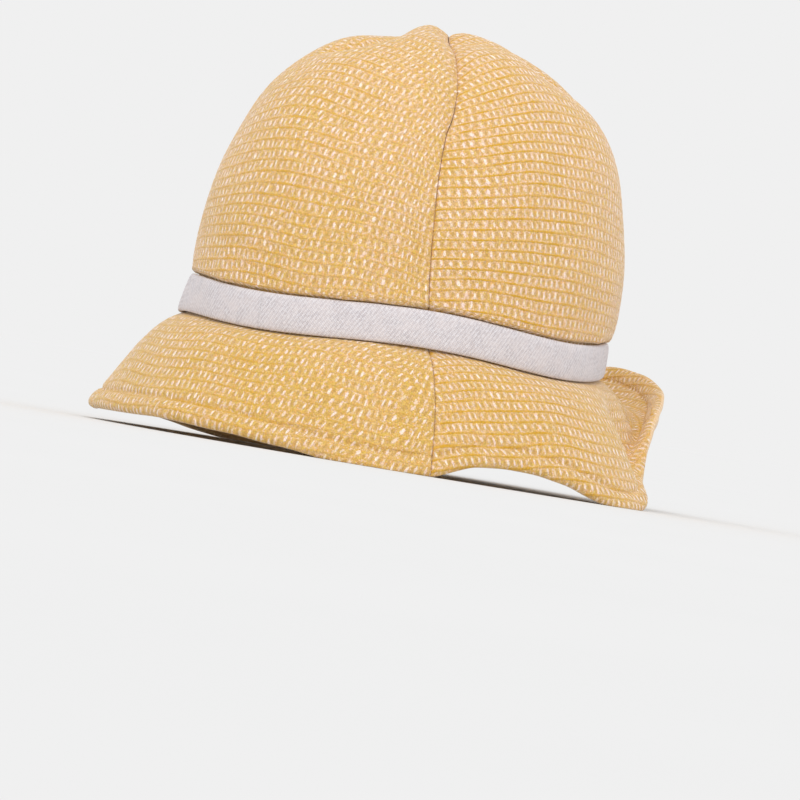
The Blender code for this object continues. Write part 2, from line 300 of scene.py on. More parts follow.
def seam_level(azimuth):
    """Height of the seam behind the band, which rises a little at the gore seams."""
    return BAND_LEVEL - BAND_WAVE * np.cos(np.radians(4 * from_gore_middle(azimuth)))


def crown_meridian(up):
    """The crown from the side, a superellipse: radius as a share, height and tilt, at even lengths."""
    angle = np.linspace(0, math.pi / 2, MERIDIAN_STEPS)
    radius = np.cos(angle)
    height = CROWN_HEIGHT * np.sin(angle) ** (2 / CROWN_SQUARENESS)
    steps = np.hypot(np.diff(radius) * MEAN_RADIUS, np.diff(height))
    length = np.concatenate([[0], np.cumsum(steps)])
    length /= length[-1]
    tilt = np.arctan2(-np.gradient(radius * MEAN_RADIUS, length), np.gradient(height, length))
    tilt[-1] = math.pi / 2
    return [np.interp(up, length, column) for column in (radius, height, tilt)]


def clear_of_band(height):
    """0 behind the band and 1 above the rounded roll over it, from the height above the seam."""
    t = np.clip((height - BAND_HEIGHT / 2 - BAND_GAP) / NECK_ROLL, 0, 1)
    return np.sqrt(1 - (1 - t) ** 2)


def bell(azimuth, middle, spread):
    """1 at the middle azimuth, falling to 0 on both sides of it."""
    away = (azimuth - middle + 180) % 360 - 180
    return np.exp(-((away / spread) ** 2))


def neck_draw(azimuth):
    """How much further than NECK_DEPTH the neck is drawn in."""
    return NECK_DRAW * bell(azimuth, NECK_DRAW_AZIMUTH, NECK_DRAW_SPREAD)


def swollen_crown(azimuth, up):
    """The crown without its dents, and which way it faces: each gore swells between its seams."""
    radius, height, tilt = crown_meridian(up)
    clear = clear_of_band(height)
    plain = oval_radius(azimuth) * radius
    from_seam = plain * np.cos(np.radians(2 * from_gore_middle(azimuth))) / 2
    full = 1 - np.exp(-from_seam / SEAM_REACH)
    swell = GORE_HUMP * full * clear * smooth_between(*np.array(HUMPS).T, up)
    above = np.maximum(height - BAND_HEIGHT / 2 - BAND_GAP, 0)
    tucked = NECK_DEPTH * (1 - clear) + neck_draw(azimuth) * np.exp(-above / NECK_DRAW_RISE)
    distance = plain - tucked + swell * np.cos(tilt)
    base = BAND_LEVEL + (seam_level(azimuth) - BAND_LEVEL) * (1 - up) ** 2
    height = base + height + swell * np.sin(tilt)
    return points_at(azimuth, distance, height), points_at(azimuth, np.cos(tilt), np.sin(tilt))


def crown_skin(azimuth, up):
    """The swollen crown, pushed in by a round dent at each place in DENTS and SOFT_DENTS."""
    points, facing = swollen_crown(azimuth, up)
    pushed = points.copy()
    for at_azimuth, at_up, depth, spread in DENTS + SOFT_DENTS:
        centre = swollen_crown(np.array(at_azimuth), np.array(at_up))[0]
        away = np.linalg.norm(points - centre, axis=-1) / (spread * CROWN_WIDTH)
        pushed -= (depth * GORE_HUMP * np.exp(-(away**2)))[..., None] * facing
    return pushed


def brim_skin(azimuth, across):
    """The brim from its edge (0) to the seam behind the band (1): a cubic Bezier and a tucked strip."""
    reach, rise, lean = round_the_hat(BRIM_EDGE, azimuth)
    drawn = neck_draw(azimuth)
    neck = oval_radius(azimuth) - NECK_DEPTH - drawn
    top = seam_level(azimuth) - SEAM_GAP / 2
    start = seam_level(azimuth) - BAND_HEIGHT / 2 - BAND_GAP
    edge_out = reach * BRIM_WIDTH + drawn
    edge_height = rise * (BAND_LEVEL - BAND_HEIGHT / 2)
    first, last = math.radians(SHOULDER_LEAN), np.radians(lean)
    handle, end_handle = SHOULDER_HANDLE * BRIM_WIDTH, EDGE_HANDLE * BRIM_WIDTH
    outs = (0, handle * math.sin(first), edge_out - end_handle * np.sin(last), edge_out)
    heights = (
        start,
        start - handle * math.cos(first),
        edge_height + end_handle * np.cos(last),
        edge_height,
    )
    flare_share = BRIM_WIDTH / (BRIM_WIDTH + BAND_HEIGHT / 2)
    t = np.clip(1 - across / flare_share, 0, 1)
    weights = ((1 - t) ** 3, 3 * t * (1 - t) ** 2, 3 * t * t * (1 - t), t**3)
    out = sum(weight * value for weight, value in zip(weights, outs))
    height = sum(weight * value for weight, value in zip(weights, heights))
    tucked = np.clip((across - flare_share) / (1 - flare_share), 0, 1)
    return points_at(azimuth, neck + out, height + tucked * (top - start))


def soft_waves(points, length, seed, count=9):
    """Smooth unevenness between about -1 and 1: plane waves in seeded directions, added up."""
    random = np.random.default_rng(seed)
    directions = random.normal(size=(count, 3))
    directions /= np.linalg.norm(directions, axis=1)[:, None]
    lengths = length * random.uniform(0.7, 1.5, count)
    phases = random.uniform(0, 2 * math.pi, count)
    waves = np.cos(points @ (directions / lengths[:, None]).T * 2 * math.pi + phases)
    return waves.sum(axis=-1) * math.sqrt(2 / count) / 1.6


def unit(vectors):
    """The vectors, each made 1 long."""
    return vectors / np.maximum(np.linalg.norm(vectors, axis=-1, keepdims=True), TINY)


def facing_of(points):
    """Unit normals of a grid: the cross product of its steps along a row and up a column."""
    return unit(np.cross(np.gradient(points, axis=1), np.gradient(points, axis=0)))


def upright_at_seams(facing, from_seam, azimuth, side):
    """The normals, without their part across the seam beside them, so that both edges stay closed."""
    seam = SIDES[side] + np.where(azimuth > SIDES[side], 45, -45)
    across = points_at(seam + 90, 1, np.zeros(seam.shape))
    near = np.exp(-((from_seam / SEAM_PULL_WIDTH) ** 2))
    leaning = (facing * across).sum(axis=-1)
    return unit(facing - (near * leaning)[..., None] * across)


def seam_distance(points, azimuth, side):
    """Distance of each point from the nearer seam of its piece."""
    distance = np.hypot(points[..., 0], points[..., 1])
    return distance * np.sin(np.radians(45 - np.abs(azimuth - SIDES[side])))


def edge_roll(distance, width):
    """How far a rounded edge falls away, as a share of its width: a quarter of a circle."""
    near = np.clip(1 - distance / width, 0, 1)
    return 1 - np.sqrt(1 - near**2)


def seam_fall(from_seam, points):
    """How far the cloth falls beside a seam: its rounded edge, and the hollow that the thread pulls."""
    rounded = SEAM_ROLL * edge_roll(from_seam, SEAM_ROLL_WIDTH)
    uneven = 1 + 0.4 * soft_waves(points, GATHER_LENGTH, 3)
    return rounded, SEAM_PULL * uneven * np.exp(-((from_seam / SEAM_PULL_WIDTH) ** 2))


def wandered(points, azimuth, up, table):
    """The points turned about the hat's axis, so that the near seam wanders as in the table."""
    shares, sideways = np.array(table).T
    distance = np.hypot(points[..., 0], points[..., 1])
    from_seam = distance * np.radians(azimuth - SEAM_AZIMUTH)
    felt = smooth_between(shares, sideways, up) * np.exp(-((from_seam / SEAM_SPREAD) ** 2))
    turn = felt / np.maximum(distance, SEAM_SPREAD / 2)
    x, y, z = np.moveaxis(points, -1, 0)
    return np.stack([x - y * turn, y + x * turn, z], axis=-1)


def piece_columns(count):
    """Shares of the way from seam to seam, closer together beside both seams."""
    close = max(3, count // 26)
    edge = np.linspace(0, EDGE_SHARE, close + 1)[:-1]
    middle = np.linspace(EDGE_SHARE, 1 - EDGE_SHARE, count - 2 * close + 1)
    return np.concatenate([edge, middle, 1 - edge[::-1]])


def weave_relief(pattern, side, sizes):
    """Height of the cloth's surface: a round rib between rows, and one round float in each cell."""
    column, row = pattern[..., 0], pattern[..., 1]
    down = row % 1
    leaning = column - WEAVE_LEAN[side] * (down - 0.5) + WEAVE_STAGGER[side] * np.floor(row)
    aside = leaning % 1 - 0.5
    from_rib = np.minimum(down, 1 - down)
    rib = np.exp(-((from_rib / RIB_SLOPE) ** 2))
    end = smooth_step((from_rib - FLOAT_START) / FLOAT_RISE)
    dash = np.exp(-((aside / FLOAT_SLOPE) ** 2)) * end
    return sizes.rib_height * rib + sizes.float_height * dash


def weave_pattern(skin, azimuth, length_down, side, sizes, share=1.0, more=0.0):
    """The cloth's own columns and rows at each grid point, as it lay flat when the piece was cut.

    With r the distance from the axis, phi the angle from the piece's middle and s the length down,
    the flat piece has x = r phi and y = s - r phi^2 d / 2, where d is dr/ds times a share and a bit
    more, by which the rows droop towards both seams. Rows and columns stray a little as well.
    """
    distance = np.hypot(skin[..., 0], skin[..., 1]).mean(axis=1, keepdims=True)
    spread = np.gradient(distance[:, 0], length_down.mean(axis=1))[:, None]
    phi = np.radians(azimuth - SIDES[side])
    x = distance * phi
    y = length_down - distance * phi**2 * (share * spread + more) / 2
    stray = WEAVE_STRAY[side]
    column = x / sizes.column_pitch + 1.4 * stray * soft_waves(skin, STRAY_LENGTH, 21)
    column = column + WEAVE_SHAKE[side] * soft_waves(skin, SHAKE_LENGTH, 23)
    row = y / sizes.row_pitch + stray * soft_waves(skin, 1.5 * STRAY_LENGTH, 22)
    return np.stack([column, row], axis=-1)


def grid_quads(index):
    """The quads between the neighbouring points of a grid, facing along its cross product."""
    return np.stack([index[:-1, :-1], index[:-1, 1:], index[1:, 1:], index[1:, :-1]], axis=-1)


def shell_faces(outer, inner, has_pole):
    """Faces of a closed shell from the point numbers of its outer and inner grids.

    A gore's grids each end in a pole, and those of a panel share their first row, its edge. The
    open end gets a rim. The outer grid has a whole number of rows for each row of the inner one,
    and the cut ends at both seams get one face for each inner row.
    """
    ratio = (len(outer) - 1) // (len(inner) - 1)
    outer_quads = grid_quads(outer)
    inner_quads = grid_quads(inner)[..., ::-1]
    if has_pole:
        body = outer_quads[:-1].reshape(-1, 4).tolist() + outer_quads[-1][:, :3].tolist()
        lining = inner_quads[:-1].reshape(-1, 4).tolist() + inner_quads[-1][:, 1:].tolist()
        rim = np.stack([outer[0, 1:], outer[0, :-1], inner[0, :-1], inner[0, 1:]], axis=-1)
    else:
        body = outer_quads.reshape(-1, 4).tolist()
        lining = inner_quads.reshape(-1, 4).tolist()
        rim = np.stack([outer[-1, :-1], outer[-1, 1:], inner[-1, 1:], inner[-1, :-1]], axis=-1)
    steps = ratio * np.arange(len(inner) - 1)[:, None] + np.arange(ratio + 1)
    first = np.hstack([outer[steps, 0], inner[1:, :1], inner[:-1, :1]]).tolist()
    last = np.hstack([outer[steps, -1][:, ::-1], inner[:-1, -1:], inner[1:, -1:]]).tolist()
    if not has_pole:
        first[0].pop()
        last[0].pop(-2)
    return body + rim.tolist() + first + last, lining


def number_points(rows, columns, start, has_pole):
    """Point numbers of a grid, with one point for its last row at a pole, and the next free one."""
    index = start + np.arange(rows * columns).reshape(rows, columns)
    if has_pole:
        index[-1] = index[-1, 0]
    return index, index[-1, -1] + 1


def make_shell(name, outer, inner, patterns, materials, has_pole):
    """A closed gore or panel from an outer and an inner grid, with its weave as a UV map."""
    outer_index, free = number_points(*outer.shape[:2], 0, has_pole)
    shared = 0 if has_pole else 1
    below, free = number_points(len(inner) - shared, inner.shape[1], free, has_pole)
    inner_index = np.vstack([outer_index[:shared], below])
    count = outer_index.max() + 1
    points = [outer.reshape(-1, 3)[:count], inner[shared:].reshape(-1, 3)]
    uv = [patterns[0].reshape(-1, 2)[:count], patterns[1][shared:].reshape(-1, 2)]
    body, lining = shell_faces(outer_index, inner_index, has_pole)
    piece = add_piece(name, np.vstack(points)[:free], body + lining, np.vstack(uv)[:free], materials)
    slots = np.repeat((0, 1), (len(body), len(lining)))
    piece.data.polygons.foreach_set("material_index", slots)
    return piece


def add_piece(name, points, faces, uv, materials):
    """A smooth object with its materials, and the UV map "weave" from one value at each point."""
    mesh = bpy.data.meshes.new(name)
    mesh.from_pydata(points.reshape(-1, 3), [], faces)
    for material in materials:
        mesh.materials.append(material)
    mesh.update()
    mesh.shade_smooth()
    corners = np.empty(len(mesh.loops), int)
    mesh.loops.foreach_get("vertex_index", corners)
    layer = mesh.uv_layers.new(name="weave")
    layer.uv.foreach_set("vector", uv.reshape(-1, 2)[corners].ravel())
    piece = bpy.data.objects.new(name, mesh)
    bpy.context.scene.collection.objects.link(piece)
    return piece


def hat_axis():
    """Where the hat's axis stands on the floor: the middle of the band."""
    low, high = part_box("hat_band")
    middle = (low + high) / 2
    return np.array([middle.x, middle.y, 0])


def worn_skin(skin, facing, clear, sizes, flattened, fading, seed):
    """The skin with its soft creases, and with gathers that fade away from the band or the hem."""
    gathers = soft_waves(skin * (1, 1, flattened), GATHER_LENGTH, seed) * fading
    creases = soft_waves(skin, CREASE_LENGTH, seed + 3)
    worn = clear * (sizes.gather_height * gathers + sizes.crease_height * creases)
    return skin + worn[..., None] * facing


def gore_surface(side, columns, rows, sizes):
    """The outside and the lining of one gore, and its weave, as grids from neck to pole."""
    azimuth = np.broadcast_to(SIDES[side] + (columns - 0.5) * 90, (len(rows), len(columns)))
    up = np.broadcast_to(rows[:, None], azimuth.shape)
    skin = wandered(crown_skin(azimuth, up), azimuth, up, SEAM_WANDER)
    middle = skin[:, len(columns) // 2]
    steps = np.linalg.norm(np.diff(middle, axis=0), axis=1)
    length_down = np.append(np.cumsum(steps[::-1])[::-1], 0)[:, None]
    facing = facing_of(skin)
    facing[-1] = (0, 0, 1)
    clear = clear_of_band(crown_meridian(up)[1])
    above = skin[..., 2] - seam_level(azimuth) - BAND_HEIGHT / 2
    fading = np.exp(-above / GATHER_LENGTH)
    skin = worn_skin(skin, facing, clear, sizes, 0.15, fading, 5)
    facing = facing_of(skin)
    facing[-1] = (0, 0, 1)
    pattern = weave_pattern(skin, azimuth, length_down, side, sizes, more=CROWN_DROOP)
    from_seam = seam_distance(skin, azimuth, side)
    facing = upright_at_seams(facing, from_seam, azimuth, side)
    rounded, pulled = seam_fall(from_seam, skin)
    relief = weave_relief(pattern, side, sizes) * clear - rounded - pulled * clear
    aside = points_at(SIDES[side], SEAM_CLOSE / math.sqrt(2), SEAM_GAP / 2)
    outer = skin + relief[..., None] * facing + aside
    lining = skin - (CLOTH + pulled * clear)[..., None] * facing + aside
    outer[-1] = outer[-1].mean(axis=0)
    lining[-1] = lining[-1].mean(axis=0)
    pattern[-1] = pattern[-1].mean(axis=0)
    return outer + hat_axis(), lining + hat_axis(), pattern


def brim_lengths(azimuth, steps=160):
    """Shares across the brim, and the length from the edge to each, for every azimuth."""
    shares = np.linspace(0, 1, steps)
    points = brim_skin(azimuth[None, :], shares[:, None])
    lengths = np.linalg.norm(np.diff(points, axis=0), axis=-1)
    return shares, np.vstack([np.zeros(len(azimuth)), np.cumsum(lengths, axis=0)])


def share_at(shares, lengths, distance):
    """Shares across the brim at the given distances from its edge, by linear interpolation."""
    place = (lengths[None, :, :] <= distance[:, None, :]).sum(axis=1) - 1
    place = np.clip(place, 0, len(shares) - 2)
    column = np.arange(lengths.shape[1])[None, :]
    low, high = lengths[place, column], lengths[place + 1, column]
    part = np.clip((distance - low) / (high - low), 0, 1)
    return shares[place] + part * (shares[place + 1] - shares[place])


def brim_distances(whole, count):
    """Distances from the edge: close on the rounded edge and the stitch groove, and even beyond."""
    radius = HEM_THICKNESS / 2
    rounding = radius * (1 - np.cos(np.linspace(0, math.pi / 2, 7)))
    hem = np.linspace(radius, HEM_WIDTH + 2 * radius, 20)[1:]
    close = np.concatenate([rounding, hem])
    beyond = np.linspace(0, 1, count - len(close) + 1)[1:, None]
    far = close[-1] + beyond * (whole[None, :] - close[-1])
    return np.vstack([np.repeat(close[:, None], len(whole), axis=1), far])


def brim_surface(side, columns, row_count, sizes):
    """The outside and the underside of one brim panel, and its weave, as grids from edge to seam."""
    azimuth = SIDES[side] + (columns - 0.5) * 90
    shares, lengths = brim_lengths(azimuth)
    from_edge = brim_distances(lengths[-1], row_count)
    across = share_at(shares, lengths, from_edge)
    azimuth = np.broadcast_to(azimuth, across.shape)
    skin = wandered(brim_skin(azimuth, across), azimuth, across, BRIM_WANDER)
    behind_band = across > BRIM_WIDTH / (BRIM_WIDTH + BAND_HEIGHT / 2)
    whole = lengths[-1][None, :]
    clear = smooth_step((whole - from_edge - BAND_HEIGHT / 2) / (2 * NECK_ROLL)) * ~behind_band
    fading = np.exp(-from_edge / HEM_WIDTH)
    skin = worn_skin(skin, facing_of(skin), clear, sizes, 0.3, fading, 6)
    facing = facing_of(skin)
    pattern = weave_pattern(skin, azimuth, whole - from_edge, side, sizes, share=BRIM_DROOP)
    from_seam = seam_distance(skin, azimuth, side)
    facing = upright_at_seams(facing, from_seam, azimuth, side)
    rolled, pulled = seam_fall(from_seam, skin)
    pulled = pulled * clear
    radius = HEM_THICKNESS / 2
    rounded = radius * edge_roll(from_edge, radius)
    groove = np.exp(-(((from_edge - HEM_WIDTH) / GROOVE_WIDTH) ** 2))
    puffed = np.sin(np.pi * np.clip(from_edge / HEM_WIDTH, 0, 1)) ** 2
    on_hem = 1 - smooth_step((from_edge - HEM_WIDTH) / radius)
    thick = CLOTH + (HEM_THICKNESS - CLOTH) * on_hem
    raised = weave_relief(pattern, side, sizes) * clear * smooth_step(from_edge / radius)
    sewn = HEM_PUFF * puffed - STITCH_GROOVE * groove
    outer = skin + (raised + sewn - rounded - rolled - pulled)[..., None] * facing
    below = skin - (thick + sewn - rounded - 0.5 * raised + pulled)[..., None] * facing
    aside = points_at(SIDES[side], SEAM_CLOSE / math.sqrt(2), 0)
    outer, below = outer + aside + hat_axis(), below + aside + hat_axis()
    edge = (outer[0] + below[0]) / 2
    outer[0], below[0] = edge, edge
    for surface in (outer, below):
        surface[..., 2] = np.maximum(surface[..., 2], FLOOR_REST)
    return outer, below, pattern, facing


def stitch_row(outer, facing, sizes):
    """Points and UVs of the stitches along one row of a grid: spindles with their ends in the cloth."""
    spacing, length, thickness = sizes.stitch_pitch, sizes.stitch_length, sizes.thread_thickness
    steps = np.linalg.norm(np.diff(outer, axis=0), axis=1)
    along = np.append(0, np.cumsum(steps))
    middles = np.arange(spacing, along[-1] - spacing / 2, spacing)
    centre = np.stack([np.interp(middles, along, outer[:, axis]) for axis in range(3)], axis=-1)
    up = np.stack([np.interp(middles, along, facing[:, axis]) for axis in range(3)], axis=-1)
    ahead = unit(np.gradient(centre, axis=0))
    across = np.cross(up, ahead)
    place = np.linspace(-1, 1, STITCH_RINGS + 2)[1:-1]
    turn = np.linspace(0, 2 * math.pi, STITCH_SIDES + 1)[:-1]
    thin = np.sqrt(1 - np.abs(place) ** 3) * thickness / 2
    forward = place[:, None, None] * length / 2
    aside = (thin[:, None] * np.cos(turn))[..., None]
    bent = (STITCH_SINK * thickness * place**2)[:, None]
    raised = (thin[:, None] * np.sin(turn) - bent)[..., None]
    middle, *ways = [each[:, None, None] for each in (centre, ahead, across, up)]
    rings = middle + forward * ways[0] + aside * ways[1] + raised * ways[2]
    sunk = centre - STITCH_SINK * thickness * up
    ends = np.stack([sunk - ahead * length / 2, sunk + ahead * length / 2], axis=1)
    points = np.concatenate([rings.reshape(len(centre), -1, 3), ends], axis=1)
    ring_uv = np.stack(np.broadcast_arrays(place[:, None], turn[None, :]), axis=-1).reshape(-1, 2)
    uv = np.vstack([ring_uv, (-1, 0), (1, 0)])
    return points, np.broadcast_to(uv, (len(centre), *uv.shape))


def stitch_faces(count):
    """Faces of count spindles, each closed at both ends."""
    start = STITCH_RINGS * STITCH_SIDES
    index = np.arange(start).reshape(STITCH_RINGS, STITCH_SIDES)
    wrapped = np.hstack([index, index[:, :1]])
    quads = grid_quads(wrapped).reshape(-1, 4)[:, ::-1]
    caps = np.stack([wrapped[0, :-1], wrapped[0, 1:], np.full(STITCH_SIDES, start)], axis=-1)
    tips = np.stack([wrapped[-1, 1:], wrapped[-1, :-1], np.full(STITCH_SIDES, start + 1)], axis=-1)
    step = (start + 2) * np.arange(count)[:, None, None]
    triangles = np.vstack([caps, tips])
    return (quads + step).reshape(-1, 4).tolist() + (triangles + step).reshape(-1, 3).tolist()


def band_surface(columns, rows, sizes):
    """The band as a closed ring: a full, rounded cross-section carried round the neck."""
    azimuth = np.linspace(0, 360, columns + 1)[:, None][:-1]
    turn = np.linspace(0, 2 * math.pi, rows + 1)[None, :-1]
    out, up = [np.sign(way) * np.abs(way) ** BAND_CORNER for way in (np.cos(turn), np.sin(turn))]
    half = (BAND_CLOTH + BAND_PUFF) / 2
    inside = oval_radius(azimuth) - NECK_DEPTH - neck_draw(azimuth) + BAND_GAP
    middle = inside + half
    height = seam_level(azimuth) + up * BAND_HEIGHT / 2
    around = np.radians(azimuth) * MEAN_RADIUS
    plain = points_at(azimuth, middle + out * half, height)
    folds = soft_waves(plain * (1, 1, 0.5), GATHER_LENGTH, 12)
    pulls = np.cos(2 * math.pi * (around - PULL_LEAN * up * BAND_HEIGHT / 2) / sizes.pull_pitch)
    strength = 0.5 + 0.5 * soft_waves(plain, 1.5 * GATHER_LENGTH, 13)
    raised = np.clip(out, 0, 1) * (sizes.fold_height * folds + sizes.pull_height * pulls * strength)
    low = (1 - up) / 2
    flare = BAND_FLARE * bell(azimuth, BAND_FLARE_AZIMUTH, BAND_FLARE_SPREAD) * low
    in_view = (1 + np.cos(np.radians(azimuth - CAMERA_AZIMUTH))) / 2
    hang = BAND_HANG * in_view**2 * np.clip(out, 0, 1) * low + flare / 3
    points = points_at(azimuth, middle + out * half + raised + flare, height - hang)
    uv = np.stack(np.broadcast_arrays(around, up * BAND_HEIGHT / 2), axis=-1)
    return points + hat_axis(), uv


def srgb(red, green, blue):
    """A picture's colour, from 0 to 255, as a linear one."""
    share = np.array([red, green, blue]) / 255
    linear = np.where(share <= 0.04045, share / 12.92, ((share + 0.055) / 1.055) ** 2.4)
    return (*linear.tolist(), 1.0)


class Number:
    """A number that a node gives. A sum with it adds the nodes that work the sum out."""

    def __init__(self, recipe, socket):
        self.recipe = recipe
        self.socket = socket

    def __add__(self, other):
        return self.recipe.math("ADD", self, other)

    def __sub__(self, other):
        return self.recipe.math("SUBTRACT", self, other)

    def __rsub__(self, other):
        return self.recipe.math("SUBTRACT", other, self)

    def __mul__(self, other):
        return self.recipe.math("MULTIPLY", self, other)

    def __abs__(self):
        return self.recipe.math("ABSOLUTE", self)


class Recipe:
    """A material whose nodes are added one after another, each linked to sockets made before it."""

    def __init__(self, name):
        self.material = bpy.data.materials.new(name)
        self.material.use_nodes = True
        self.tree = self.material.node_tree
        self.tree.nodes.clear()

    def add(self, kind, inputs=None, **settings):
        """One node: its settings, and its inputs as numbers or sockets to link, or plain values."""
        made = self.tree.nodes.new(kind)
        for name, value in settings.items():
            setattr(made, name, value)
        for name, value in (inputs or {}).items():
            if isinstance(value, Number):
                value = value.socket
            if isinstance(value, bpy.types.NodeSocket):
                self.tree.links.new(value, made.inputs[name])
            else:
                made.inputs[name].default_value = value
        return made

    def math(self, operation, *values):
        """One step of a sum."""
        made = self.add("ShaderNodeMath", dict(enumerate(values)), operation=operation)
        return Number(self, made.outputs[0])

    def ramp(self, value, low, high, start=0.0, stop=1.0):
        """A smooth step from start at low to stop at high."""
        inputs = {"Value": value, "From Min": low, "From Max": high, "To Min": start, "To Max": stop}
        made = self.add("ShaderNodeMapRange", inputs, interpolation_type="SMOOTHSTEP")
        return Number(self, made.outputs[0])

    def oval(self, across, along, half_width, half_height):
        """Distance from the middle of an oval, 1 on its edge."""
        wide, tall = across * (1 / half_width), along * (1 / half_height)
        return self.math("SQRT", wide * wide + tall * tall)

    def noise(self, vector, scale, detail=2.0, roughness=0.5, output="Fac"):
        """Even noise of about 0 to 1, with 0.5 in the middle."""
        inputs = {"Vector": vector, "Scale": scale, "Detail": detail, "Roughness": roughness}
        return Number(self, self.add("ShaderNodeTexNoise", inputs).outputs[output])

    def channels(self, colour):
        """The three numbers of a colour."""
        made = self.add("ShaderNodeSeparateColor", {"Color": colour})
        return [Number(self, socket) for socket in made.outputs]

    def weave(self):
        """The two numbers of the UV map "weave", across and down or along and up."""
        pattern = self.add("ShaderNodeUVMap", uv_map="weave").outputs[0]
        made = self.add("ShaderNodeSeparateXYZ", {"Vector": pattern})
        return [Number(self, socket) for socket in made.outputs[:2]]

    def place(self):
        """The point's Object coordinates."""
        return self.add("ShaderNodeTexCoord").outputs["Object"]

    def blend(self, amount, first, second, mode="MIX"):
        """Two colours mixed by an amount."""
        inputs = {0: amount, 6: first, 7: second}
        return self.add("ShaderNodeMix", inputs, data_type="RGBA", blend_type=mode).outputs[2]

    def finish(self, colour, roughness, height=None, strength=0.0, distance=0.0, **constants):
        """Ends the material: its colour, its bumps, and constant values of the shader by name."""
        inputs = {"Base Color": colour, "Roughness": roughness}
        if height is not None:
            bumps = {"Height": height, "Strength": strength, "Distance": distance}
            inputs["Normal"] = self.add("ShaderNodeBump", bumps).outputs[0]
        for name, value in constants.items():
            inputs[name.replace("_", " ")] = value
        shader = self.add("ShaderNodeBsdfPrincipled", inputs)
        self.add("ShaderNodeOutputMaterial", {"Surface": shader.outputs[0]})
        return self.material


def waffle_cloth(name, side, colours, golden=0.0, reverse=False):
    """Waffle weave on the UV map "weave": gold ribs between rows, pale floats, painted shade in
    hollows.
    """
    recipe = Recipe(name)
    across, down = recipe.weave()
    place = recipe.place()
    row, within = recipe.math("FLOOR", down), recipe.math("FRACT", down)
    placed = across - (within - 0.5) * WEAVE_LEAN[side] + row * WEAVE_STAGGER[side]
    aside, off_row = recipe.math("FRACT", placed) - 0.5, within - 0.5
    cell = recipe.add("ShaderNodeCombineXYZ", {"X": recipe.math("FLOOR", placed), "Y": row}).outputs[0]
    chance = recipe.add("ShaderNodeTexWhiteNoise", {"Vector": cell}, noise_dimensions="2D")
    chances = recipe.channels(chance.outputs["Color"])
    strength = recipe.ramp(chances[0], 0.0, 1.0, 0.45, 1.0)
    most = WEAVE_NUDGE[side]
    nudge, sunk = [recipe.ramp(draw, 0.0, 1.0, -most, most) for draw in chances[1:]]
    fine = recipe.noise(place, 1700.0, 3.0, 0.65)
    fibre = recipe.noise(place, 650.0, 2.0, 0.6)
    patch = recipe.noise(place, 32.0, 2.0, 0.5)
    wide = recipe.noise(place, 120.0, 3.0, 0.6)
    frayed = (fibre - 0.5) * FRAY
    float_reach = recipe.oval(aside - nudge, off_row - sunk, *FLOAT_OVAL)
    floats = recipe.ramp(float_reach + frayed, 0.50, 0.98, 1.0, 0.0)
    hollow_reach = recipe.oval(0.5 - abs(aside), off_row, *HOLLOW_OVAL)
    # the hollows' mask: where the painted shade darkens the weave, and where the bump dips
    shaded_hollows = recipe.ramp(hollow_reach + frayed, 0.35, 1.1, 1.0, 0.0)
    ribs = recipe.ramp(abs(off_row) + frayed * 0.12, *RIB_EDGES)
    rib_shown = recipe.ramp(wide, 0.38, 0.62, WEAVE_RIBS[side] - 0.45, WEAVE_RIBS[side])
    fading = recipe.ramp(across, WEAVE_FADE[side] - 5, WEAVE_FADE[side] + 5, 1.0, 0.45)
    share = WEAVE_GOLD[side] + golden
    goldness = recipe.ramp(patch, 0.36, 0.64, share - 0.25, share + 0.25)
    ground = recipe.blend(goldness, colours["ground_warm"], colours["ground"])
    ground = recipe.blend(recipe.ramp(fibre, 0.38, 0.62, 0.0, 0.75), ground, colours["ground_deep"])
    tints = recipe.channels(recipe.noise(place, 760.0, 3.0, 0.7, output="Color"))
    for tint, (colour, low, high, share) in zip(tints, FIBRES):
        ground = recipe.blend(recipe.ramp(tint, low, high, 0.0, share), ground, colours[colour])
    # painted shade: the hollows between the floats are darkened, as shade falls in them
    cloth = recipe.blend(shaded_hollows * 0.70, ground, colours["hollow"])
    cloth = recipe.blend(ribs * rib_shown * fading, cloth, colours["rib"])
    pinkness = recipe.ramp(tints[2], 0.38, 0.60)
    float_tint = recipe.blend(pinkness, colours["float"], colours["float_pink"])
    cloth = recipe.blend(floats * strength, cloth, float_tint)
    deeper = 1 - GOLD_DEPTH * golden
    shade = recipe.ramp(fine, 0.34, 0.66, 0.78 * deeper, 1.14 * deeper)
    grey = recipe.add("ShaderNodeCombineXYZ", {"X": shade, "Y": shade, "Z": shade}).outputs[0]
    cloth = recipe.blend(1.0, cloth, grey, "MULTIPLY")
    if reverse:
        cloth = recipe.blend(0.5, cloth, colours["reverse"])
    height = ribs * 0.75 + floats - shaded_hollows * 0.7 + fine * 0.45
    soft = {"Specular_IOR_Level": 0.15, "Sheen_Weight": 0.45, "Sheen_Roughness": 0.4}
    return recipe.finish(cloth, 0.92, height, 0.55, 0.0004, **soft)


def linen(name, colours, sizes):
    """Plain woven linen on the UV map "weave", in metres: fine threads both ways with painted shade
    between them, and diagonal pulls.
    """
    recipe = Recipe(name)
    along, up = recipe.weave()
    place = recipe.place()
    turn = 2 * math.pi / sizes.thread_pitch
    patch = recipe.noise(place, 180.0, 3.0, 0.6)
    shift = patch * 2.4
    threads = recipe.math("SINE", along * turn + shift) * recipe.math("SINE", up * turn + shift)
    diagonal = recipe.math("COSINE", (along - up * PULL_LEAN) * (2 * math.pi / sizes.pull_pitch))
    slubs = recipe.noise(place, 900.0, 3.0, 0.65)
    tone = slubs + threads * 0.16 + diagonal * 0.10
    # the darker colour: random slub tone and the diagonal lines, and painted shade between the threads
    cloth = recipe.blend(recipe.ramp(tone, 0.25, 0.78), colours["linen_dark"], colours["linen"])
    cloth = recipe.blend(recipe.ramp(patch, 0.35, 0.70, 0.0, 0.5), cloth, colours["linen_warm"])
    height = threads * 0.5 + slubs * 0.6
    soft = {"Specular_IOR_Level": 0.2, "Sheen_Weight": 0.1}
    return recipe.finish(cloth, 0.85, height, 0.5, 0.0002, **soft)


